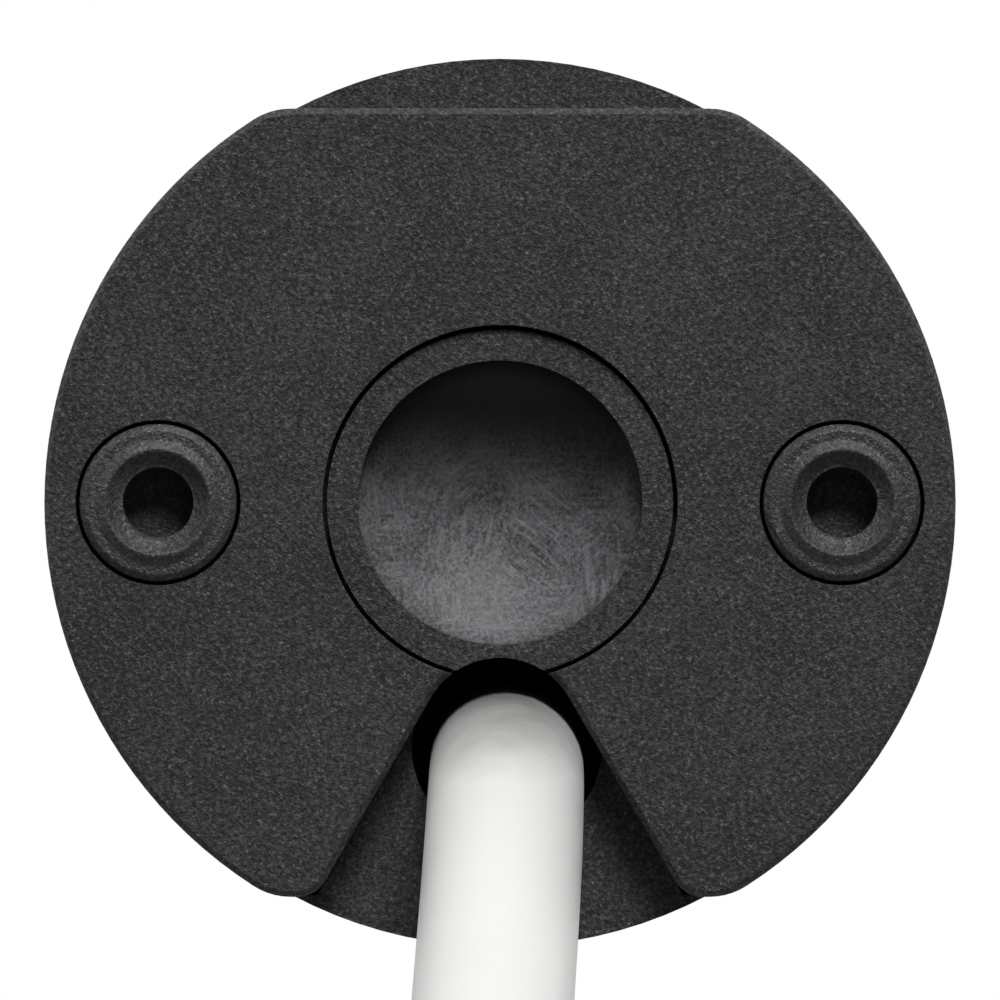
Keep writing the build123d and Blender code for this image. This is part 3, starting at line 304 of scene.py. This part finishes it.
def fade_far_floor(tree, shader, place, middle, tone):
    """Far from the object the floor turns as white as the background, where it is seen."""
    apart = add_node(tree, "ShaderNodeVectorMath", {0: place, 1: middle}, operation="DISTANCE")
    start, end = floor_fade
    reach = {"Value": apart.outputs["Value"], "From Min": start, "From Max": end}
    far = add_node(tree, "ShaderNodeMapRange", reach, interpolation_type="SMOOTHSTEP").outputs["Result"]
    shown = {0: far, 1: shown_white(tree)}
    share = add_node(tree, "ShaderNodeMath", shown, operation="MULTIPLY").outputs[0]
    white = add_node(tree, "ShaderNodeEmission", {"Color": (1, 1, 1, 1), "Strength": tone}).outputs[0]
    both = add_node(tree, "ShaderNodeMixShader", {0: share, 1: shader.outputs[0], 2: white}).outputs[0]
    tree.links.new(both, tree.nodes["Material Output"].inputs["Surface"])


class Finish:
    """A material in the making: its node tree, its shader and the object's own coordinates."""

    def __init__(self, name, color, roughness, **sockets):
        self.material = bpy.data.materials.new(name)
        self.material.use_nodes = True
        self.tree = self.material.node_tree
        self.shader = self.tree.nodes["Principled BSDF"]
        self.shader.inputs["Base Color"].default_value = (*color, 1)
        self.shader.inputs["Roughness"].default_value = roughness
        for socket, value in sockets.items():
            self.shader.inputs[socket.replace("_", " ")].default_value = value
        self.place = add_node(self.tree, "ShaderNodeTexCoord").outputs["Object"]
        self.askew = self.stretched((1, 1, 1), askew_turn)

    def stretched(self, scale, turn=(0, 0, 0)):
        """Coordinates turned, then scaled by axis, for grain with a direction."""
        turned = add_node(self.tree, "ShaderNodeMapping", {"Vector": self.place, "Rotation": turn})
        stretch = add_node(self.tree, "ShaderNodeMapping", {"Vector": turned.outputs[0], "Scale": scale})
        return stretch.outputs[0]

    def moved(self, shift):
        """Coordinates moved by a shift."""
        sockets = {"Vector": self.place, "Location": shift}
        return add_node(self.tree, "ShaderNodeMapping", sockets).outputs[0]

    def height(self):
        """The height in the model's frame."""
        return add_node(self.tree, "ShaderNodeSeparateXYZ", {"Vector": self.place}).outputs["Z"]

    def noise(self, per_metre, detail=2.0, rough=0.55, place=None):
        """Noise of 0 to 1 with so many features a metre."""
        sockets = {"Vector": place or self.askew, "Scale": per_metre, "Detail": detail, "Roughness": rough}
        return add_node(self.tree, "ShaderNodeTexNoise", sockets).outputs["Fac"]

    def cells(self, per_metre):
        """The distance from the middles of a pattern of cells."""
        sockets = {"Vector": self.askew, "Scale": per_metre}
        return add_node(self.tree, "ShaderNodeTexVoronoi", sockets).outputs["Distance"]

    def span(self, value, low, high, to_low=0.0, to_high=1.0):
        """A value's range, remapped and clamped."""
        sockets = {"Value": value, "From Min": low, "From Max": high, "To Min": to_low, "To Max": to_high}
        return add_node(self.tree, "ShaderNodeMapRange", sockets).outputs["Result"]

    def math(self, operation, first, second=0.0):
        """One step of arithmetic on two values."""
        return add_node(self.tree, "ShaderNodeMath", {0: first, 1: second}, operation=operation).outputs[0]

    def mix(self, share, first, second):
        """A colour between two colours."""
        made = add_node(self.tree, "ShaderNodeMix", data_type="RGBA")
        for index, value in ((0, share), (6, first), (7, second)):
            if isinstance(value, bpy.types.NodeSocket):
                self.tree.links.new(value, made.inputs[index])
            elif index == 0:
                made.inputs[index].default_value = value
            else:
                made.inputs[index].default_value = (*value, 1)
        return made.outputs[2]

    def paint(self, color):
        """Gives the surface a colour that changes over it."""
        self.tree.links.new(color, self.shader.inputs["Base Color"])

    def rough(self, value):
        """Gives the surface a roughness that changes over it."""
        self.tree.links.new(value, self.shader.inputs["Roughness"])

    def bump(self, height, depth, strength):
        """Raises the surface by a height of 0 to 1 times a depth in metres."""
        sockets = {"Height": height, "Distance": depth, "Strength": strength}
        normal = add_node(self.tree, "ShaderNodeBump", sockets).outputs["Normal"]
        self.tree.links.new(normal, self.shader.inputs["Normal"])


def shade(color, factor):
    """A colour made lighter or darker."""
    return tuple(min(1.0, part * factor) for part in color)


def spark_plastic(name, color, gloss=0.25):
    """A moulding from a spark-eroded tool: matt, with fine light speckle, sparse painted glints and faint
    cloudy patches.
    """
    finish = Finish(name, color, 0.55, Specular_IOR_Level=gloss)
    speckle = finish.noise(5200, 2.5, 0.68)
    grit = finish.noise(9500, 1.5, 0.5)
    cloud = finish.span(finish.noise(190, 3.0, 0.6), 0.3, 0.7)
    light = finish.span(speckle, 0.5, 0.68)
    # Painted glints: sparse points painted 4.5 times as light as the colour
    painted_glint = finish.math("MULTIPLY", finish.span(grit, 0.55, 0.7), light)
    base = finish.mix(cloud, shade(color, 0.68), shade(color, 1.12))
    base = finish.mix(finish.span(speckle, 0.34, 0.5), shade(color, 0.38), base)
    base = finish.mix(light, base, shade(color, 1.7))
    finish.paint(finish.mix(painted_glint, base, shade(color, 4.5)))
    finish.rough(finish.span(speckle, 0.3, 0.75, 0.69 - gloss / 5, 0.47 - gloss / 5))
    relief = finish.math("ADD", finish.math("MULTIPLY", speckle, 0.65), finish.math("MULTIPLY", grit, 0.35))
    finish.bump(relief, 0.14 * mm, 0.9)
    return finish


def worn_spark_plastic(name, color):
    """The bushes' plastic, a little glossier than the mouldings round them."""
    return spark_plastic(name, color, 0.5)


def scuffed_plastic_with_painted_shadow(name, color):
    """The dish's scuffed floor: fine grain under soft scuffs in patches of different directions; painted
    shadow above.
    """
    finish = Finish(name, color, 0.5, Specular_IOR_Level=0.3)
    # Painted shadow: 0 at the dish's top, where it is darkest, rising to 1 below its middle
    clear_of_painted_shadow = finish.span(finish.height(), dish_painted_shadow_z, dish_painted_shadow_end_z)
    scuffs = None
    for turn, shift in scuffs_laid:
        along = finish.stretched((700, 700, 5200), (0, math.radians(turn), 0))
        lines = finish.noise(1.0, 4.0, 0.62, place=along)
        patch = finish.noise(260, 2.0, place=finish.moved((shift, 0, 0)))
        lines = finish.math("MULTIPLY", finish.span(lines, 0.42, 0.72), finish.span(patch, 0.42, 0.62))
        scuffs = lines if scuffs is None else finish.math("MAXIMUM", scuffs, lines)
    grain = finish.noise(6400, 2.5, 0.6)
    cloud = finish.span(finish.noise(420, 3.0), 0.35, 0.65)
    base = finish.mix(cloud, shade(color, 0.7), shade(color, 2.3))
    base = finish.mix(finish.span(grain, 0.38, 0.52), shade(color, 0.5), base)
    base = finish.mix(finish.span(grain, 0.52, 0.72), base, shade(color, 3.6))
    base = finish.mix(finish.span(scuffs, 0.0, 1.0, 0.0, 0.7), base, shade(color, 5.2))
    # Painted shadow: the dish's upper part is painted at 0.35 of its colour, fading out downwards
    finish.paint(finish.mix(clear_of_painted_shadow, shade(color, 0.35), base))
    finish.rough(finish.span(scuffs, 0.0, 1.0, 0.46, 0.56))
    relief = finish.math("ADD", finish.math("MULTIPLY", scuffs, 0.4), finish.math("MULTIPLY", grain, 0.6))
    finish.bump(relief, 0.05 * mm, 0.7)
    return finish


def smooth_plastic(name, color):
    """A plain moulding with a faint grain and slight changes of gloss."""
    finish = Finish(name, color, 0.42, Specular_IOR_Level=0.4)
    cloud = finish.noise(180, 4.0, 0.6)
    finish.paint(finish.mix(finish.span(cloud, 0.3, 0.7), shade(color, 0.88), shade(color, 1.12)))
    finish.rough(finish.span(cloud, 0.3, 0.7, 0.36, 0.52))
    finish.bump(finish.noise(4200), 0.01 * mm, 0.4)
    return finish


def sheet_zinc(name, color):
    """Zinc-plated steel tube: soft spangles and fine lines drawn along its length."""
    finish = Finish(name, color, 0.36, Metallic=1.0)
    drawn = finish.noise(1.0, 3.0, place=finish.stretched((2600, 40, 2600)))
    spangle = finish.math("MULTIPLY", finish.cells(170), 0.6)
    tone = finish.span(finish.math("ADD", spangle, finish.math("MULTIPLY", drawn, 0.5)), 0.25, 0.85)
    finish.paint(finish.mix(tone, shade(color, 0.78), shade(color, 1.15)))
    finish.rough(finish.span(tone, 0.0, 1.0, 0.28, 0.48))
    finish.bump(drawn, 0.01 * mm, 0.25)
    return finish


def bare_metal(name, color):
    """Turned or stamped metal, with fine marks round the motor's axis and a mottled sheen."""
    finish = Finish(name, color, 0.35, Metallic=1.0)
    marks = finish.noise(1.0, place=finish.stretched((60, 1800, 60)))
    mottle = finish.math("MULTIPLY", finish.noise(300, 4.0, 0.6), 0.5)
    tone = finish.span(finish.math("ADD", finish.math("MULTIPLY", marks, 0.5), mottle), 0.3, 0.7)
    finish.paint(finish.mix(tone, shade(color, 0.8), shade(color, 1.12)))
    finish.rough(finish.span(tone, 0.0, 1.0, 0.27, 0.47))
    finish.bump(marks, 0.008 * mm, 0.3)
    return finish


def rubber(name, color):
    """Matt rubber or cork with a faint pale bloom."""
    finish = Finish(name, color, 0.75, Specular_IOR_Level=0.3)
    bloom = finish.span(finish.noise(350, 4.0, 0.65), 0.35, 0.75)
    finish.paint(finish.mix(bloom, color, shade(color, 1.8)))
    finish.bump(finish.noise(5000), 0.015 * mm, 0.4)
    return finish


def cable_sheath(name, color):
    """White PVC: a soft sheen, a little handling dirt, and painted grey shade where it leaves the head."""
    finish = Finish(name, color, 0.38, Specular_IOR_Level=0.45)
    dirt_and_shade_edge = finish.noise(140, 4.0, 0.65)
    # The dirt's noise also makes the edge of the painted shade uneven
    uneven = finish.math("ADD", finish.height(), finish.math("MULTIPLY", dirt_and_shade_edge, painted_shade_unevenness))
    painted_shade = finish.span(uneven, painted_shade_from_z, painted_shade_full_z)
    clean = finish.mix(finish.span(dirt_and_shade_edge, 0.5, 0.85, 0.0, 0.5), color, shade(color, 0.93))
    # Painted shade: above these heights the sheath is painted at 0.16 of its white
    finish.paint(finish.mix(painted_shade, clean, shade(color, 0.16)))
    finish.rough(finish.span(dirt_and_shade_edge, 0.3, 0.7, 0.33, 0.46))
    finish.bump(finish.noise(1500, 3.0), 0.02 * mm, 0.3)
    return finish


def striped_core(name, color):
    """The earth core: green with two yellow stripes along it."""
    finish = Finish(name, color, 0.35)
    bands = finish.noise(1.0, 0.0, place=finish.stretched((900, 900, 12)))
    finish.paint(finish.mix(finish.span(bands, 0.47, 0.53), core_green, core_yellow))
    return finish


makers = {
    "cover_plastic": spark_plastic,
    "body_plastic": spark_plastic,
    "bush_plastic": worn_spark_plastic,
    "tube_steel": sheet_zinc,
    "cable_white": cable_sheath,
    "core_earth": striped_core,
    "seal_rubber": rubber,
    "lining_cork": rubber,
}
metal_classes = ("brushed_steel", "aluminium", "brass", "cast_iron", "chrome")


def base_color(entry):
    """The colour of one of the record's material slots."""
    return tuple(entry["base_color"][:3])


def make_finishes():
    """One material for each of the record's slots, by its name or its class."""
    finishes = {}
    for entry in frame["record"]["materials"]:
        slot = entry["slot"]
        maker = makers.get(slot)
        if maker is None:
            maker = bare_metal if entry["class"] in metal_classes else smooth_plastic
        finishes[slot] = maker(slot, base_color(entry)).material
        if slot == "body_plastic":
            body_color = base_color(entry)
    finishes["dish"] = scuffed_plastic_with_painted_shadow("dish", body_color).material
    return finishes


def slot_of(node):
    """The record's material slot of a node."""
    return next(part["material_slot"] for part in frame["record"]["subparts"] if part["node"] == node)


def mount(name):
    """One of the record's mounts."""
    return next(entry for entry in frame["record"]["mounts"] if entry["name"] == name)


def dish_sizes():
    """The radius of the dish's wall and the Y of the wall's foot."""
    socket = mount("centre_socket")
    return socket["dims"]["r_mm"] * mm, socket["pos_m"][1] + socket["dims"]["length_mm"] * mm / 2


def body_of(node):
    """The body that a node rides on."""
    bodies = frame["record"]["behaviour"]["bodies"]
    return next(body for body, members in bodies.items() if node in members)


def paint_nodes(finishes):
    """Gives every CAD node the finish of its slot."""
    for node, thing in frame["nodes"].items():
        thing.data.materials.clear()
        thing.data.materials.append(finishes[slot_of(node)])


def add_piece(name, data, node, finishes):
    """A piece that rides with a node's body and takes its slot's finish."""
    piece = bpy.data.objects.new(name, data)
    bpy.context.collection.objects.link(piece)
    slot = slot_of(node)
    data.materials.clear()
    data.materials.append(finishes[slot])
    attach(piece, body_of(node))
    return piece


def bring_out(vert, factor):
    """Scales a point's distance from the motor's axis."""
    vert.co.x *= factor
    vert.co.z *= factor


def split_flat(shape, flat, place, outward):
    """Cuts flat faces along a line and gives the faces on its inner and on its outer side."""
    borders = dict.fromkeys(part for face in flat for part in (*face.verts, *face.edges))
    made = bmesh.ops.bisect_plane(
        shape,
        geom=[*flat, *borders],
        plane_co=place,
        plane_no=outward,
        dist=merge_reach,
    )
    faces = [part for part in made["geom"] if isinstance(part, bmesh.types.BMFace)]
    inner = [face for face in faces if (face.calc_center_median() - place).dot(outward) < 0]
    return inner, [face for face in faces if face not in inner]


def raise_slot_floor(shape):
    """Brings the flange's face forward in the cover's cable slot and below the cover's lower flat."""
    flange_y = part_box("head_cover")[1].y
    flat = [face for face in shape.faces if all(abs(v.co.y - flange_y) < merge_reach for v in face.verts)]
    flat = [face for face in flat if face.normal.y < 0]
    mouth = Vector((0, 0, slot_flank_foot.z - slot_floor_gap))
    below, flat = split_flat(shape, flat, mouth, Vector((0, 0, 1)))
    flat, _ = split_flat(shape, flat, Vector((0, 0, slot_floor_top)), Vector((0, 0, 1)))
    down = (slot_flank_foot - slot_flank_top).normalized()
    for side in (-1, 1):
        outward = Vector((side * -down.z, 0, down.x))
        top = Vector((side * slot_flank_top.x, 0, slot_flank_top.z)) - outward * slot_floor_gap
        flat, _ = split_flat(shape, flat, top, outward)
    grown = bmesh.ops.extrude_face_region(shape, geom=[*below, *flat])["geom"]
    raised = [part for part in grown if isinstance(part, bmesh.types.BMVert)]
    bmesh.ops.translate(shape, verts=raised, vec=(0, slot_floor_y - flange_y, 0))
    for vert in raised:
        out = math.hypot(vert.co.x, vert.co.z)
        if out > slot_floor_r:
            bring_out(vert, slot_floor_r / out)


def raise_hole_floors(shape):
    """Brings the floors of the bushes' screw holes and the crest of their ridge forward."""
    axis = mount("head_screws")["dims"]["spacing_x_mm"] / 2 * mm
    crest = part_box("screw_bushes")[0].y
    for vert in shape.verts:
        out = math.hypot(abs(vert.co.x) - axis, vert.co.z)
        if out < hole_r and hole_floor_y < vert.co.y < hole_end_y:
            vert.co.y = hole_floor_y
        elif vert.co.y < crest + merge_reach:
            vert.co.y = crest - ridge_lift


def settle_order(shape):
    """Puts points, edges and faces in the order of their places, which is the same in every run."""
    places = (
        (shape.verts, lambda vert: tuple(vert.co)),
        (shape.edges, lambda edge: sorted(tuple(vert.co) for vert in edge.verts)),
        (shape.faces, lambda face: tuple(face.calc_center_median())),
    )
    for parts, place in places:
        for index, part in enumerate(sorted(parts, key=place)):
            part.index = index
        parts.sort()
    settled = bpy.data.meshes.new("settled")
    shape.to_mesh(settled)
    shape.clear()
    shape.from_mesh(settled)
    bpy.data.meshes.remove(settled)


def shape_body(shape):
    """Brings the slot's floor forward and lets the dish reach its wall."""
    raise_slot_floor(shape)
    wall_r, floor_y = dish_sizes()
    for vert in shape.verts:
        out = math.hypot(vert.co.x, vert.co.z)
        if abs(vert.co.y - floor_y) < merge_reach and dish_edge_share * wall_r < out < dish_edge_r:
            bring_out(vert, dish_edge_r / out)
    settle_order(shape)


shapers = {"head_body": shape_body, "screw_bushes": raise_hole_floors}


def rounded_piece(node, finishes):
    """A node's own shape with its sharp edges rounded and its curved faces smooth."""
    shape = bmesh.new()
    shape.from_mesh(frame["nodes"][node].data)
    bmesh.ops.remove_doubles(shape, verts=shape.verts, dist=merge_reach)
    if node in shapers:
        shapers[node](shape)
    bmesh.ops.dissolve_degenerate(shape, dist=merge_reach, edges=shape.edges)
    bmesh.ops.dissolve_limit(shape, angle_limit=flat_within, verts=shape.verts, edges=shape.edges)
    sharp = [edge for edge in shape.edges if edge.is_manifold and edge.calc_face_angle() > round_from]
    bmesh.ops.bevel(
        shape,
        geom=sharp,
        offset=edge_rounds[node] * mm,
        segments=2,
        profile=0.5,
        affect="EDGES",
        clamp_overlap=True,
        material=-1,
    )
    for face in shape.faces:
        face.smooth = True
    for edge in shape.edges:
        edge.smooth = not (edge.is_manifold and edge.calc_face_angle() > round_from)
    mesh = bpy.data.meshes.new(f"{node}_finished")
    shape.to_mesh(mesh)
    shape.free()
    piece = add_piece(f"{node}_finished", mesh, node, finishes)
    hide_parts(node)
    weigh = piece.modifiers.new("even_shading", "WEIGHTED_NORMAL")
    weigh.keep_sharp = True
    return piece


def press_spring(spring):
    """Gives the brake's spring a mesh of its own."""
    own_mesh(spring)


def paint_dish(body, finishes):
    """Gives the dish in the middle of the face its own finish: scuffed, with a painted shadow on its upper
    part.
    """
    wall_r, floor_y = dish_sizes()
    front = floor_y - edge_rounds["head_body"] * mm
    body.data.materials.append(finishes["dish"])
    for face in body.data.polygons:
        x, y, z = face.center
        if math.hypot(x, z) < wall_r and front < y < floor_y + dish_reach:
            face.material_index = 1


def coil_ends():
    """The ends of the coil's half turns as (inset in pitches, layer), front and back by turns."""
    insets = [0]
    layers = [0]
    for layer in range(coil_layers):
        step = 1 / 2 if layer % 2 == 0 else -1 / 2
        last = layer == coil_layers - 1
        for _ in range(coil_half_turns + last):
            insets.append(insets[-1] + step)
            layers.append(layer)
        if not last:
            insets.append(insets[-1])
            layers.append(layer + 1)
    return list(zip(insets, layers))


def coil_corners():
    """The places where the coil's half turns meet, for turns that take up the length wound."""
    ends = coil_ends()
    wound = cable_length - hanging_length - 2 * coil_lead
    insets = sum((a[0] + b[0]) / 2 for a, b in zip(ends, ends[1:])) * coil_pitch
    radius = (wound / math.pi + insets) / (len(ends) - 1)
    corners = []
    for k, (inset, layer) in enumerate(ends):
        side = -1 if k % 2 == 0 else 1
        reach = side * (radius - inset * coil_pitch)
        corners.append(coil_entry + Vector((layer * coil_layer_step, radius + reach, -coil_lead)))
    return corners


def coil_points():
    """The control points of the coil's half turns, which stand a little outside the line itself."""
    corners = coil_corners()
    step = math.pi / points_per_half_turn
    points = []
    for k, (start, end) in enumerate(zip(corners, corners[1:])):
        middle = (start + end) / 2
        out = (start - middle) / math.cos(step / 2)
        drop = Vector((0, 0, -out.length if k % 2 == 0 else out.length))
        for j in range(points_per_half_turn):
            turn = step * (j + 1 / 2)
            points.append(middle + out * math.cos(turn) + drop * math.sin(turn))
    return points


def smooth_line(name, points, radius, sides=16, steps=8):
    """A round tube along one smooth line through its control points' polygon."""
    curve = bpy.data.curves.new(name, "CURVE")
    curve.dimensions = "3D"
    curve.bevel_depth = radius
    curve.bevel_resolution = sides
    curve.resolution_u = steps
    curve.use_fill_caps = True
    spline = curve.splines.new("NURBS")
    spline.points.add(len(points) - 1)
    for point, place in zip(spline.points, points):
        point.co = (*place, 1)
    spline.order_u = 3
    spline.use_endpoint_u = True
    return curve


def cable_end():
    """The centre of the sheath's far end, which looks down."""
    return coil_corners()[-1] - Vector((0, 0, coil_lead))


def core_points(k):
    """The control points of one stripped core, from the sheath down to its tip."""
    turn = math.radians(90 + 120 * k)
    away = Vector((math.cos(turn), math.sin(turn), 0))
    near = cable_end() + away * core_ring_r
    far = cable_end() + away * core_spread
    drop = Vector((0, 0, stripped_length))
    first, second = core_bend_shares
    return [near + drop * core_lead_share, near - first * drop, far - second * drop, far - drop]


def bare_strands(finishes):
    """The twisted copper strands at the three cores' tips."""
    curve = bpy.data.curves.new("bare_strands", "CURVE")
    curve.dimensions = "3D"
    curve.bevel_depth = strand_r
    curve.bevel_resolution = 1
    curve.use_fill_caps = True
    for k in range(3):
        tip = core_points(k)[-1]
        for strand in range(strand_count):
            outer = strand < outer_strand_share * strand_count
            ring = (bare_r - strand_r) * (1 if outer else inner_ring_share)
            spline = curve.splines.new("POLY")
            spline.points.add(strand_points - 1)
            for j, point in enumerate(spline.points):
                turn = 2 * math.pi * (strand / strand_count + strand_turns * j / strand_points)
                drop = bare_length * j / (strand_points - 1)
                point.co = (tip.x + ring * math.cos(turn), tip.y + ring * math.sin(turn), tip.z - drop, 1)
    piece = add_piece("bare_strands", curve, "core_ends", finishes)
    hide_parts("core_ends")
    return piece


def make_cable(finishes):
    """The whole free cable on one line, with its cores and their bare strands."""
    end = cable_end()
    points = [cable_exit, *cable_route, coil_entry, *coil_points(), coil_corners()[-1], end]
    curve = smooth_line("supply_cable", points, cable_r)
    cable = add_piece("supply_cable", curve, "power_cable", finishes)
    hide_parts("power_cable", "cable_coil")
    for k, color in enumerate(("brown", "blue", "earth")):
        name = f"core_{color}"
        tube = smooth_line(f"{name}_finished", core_points(k), core_r, 6, 16)
        core = add_piece(f"{name}_finished", tube, name, finishes)
        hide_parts(name)
    strands = bare_strands(finishes)


make_camera()
make_lamps()
make_world()
make_floor()
finishes = make_finishes()
paint_nodes(finishes)
finished = {node: rounded_piece(node, finishes) for node in edge_rounds}
paint_dish(finished["head_body"], finishes)
press_spring(finished["brake_spring"])
make_cable(finishes)

bpy.context.scene.view_settings.view_transform = "Standard"
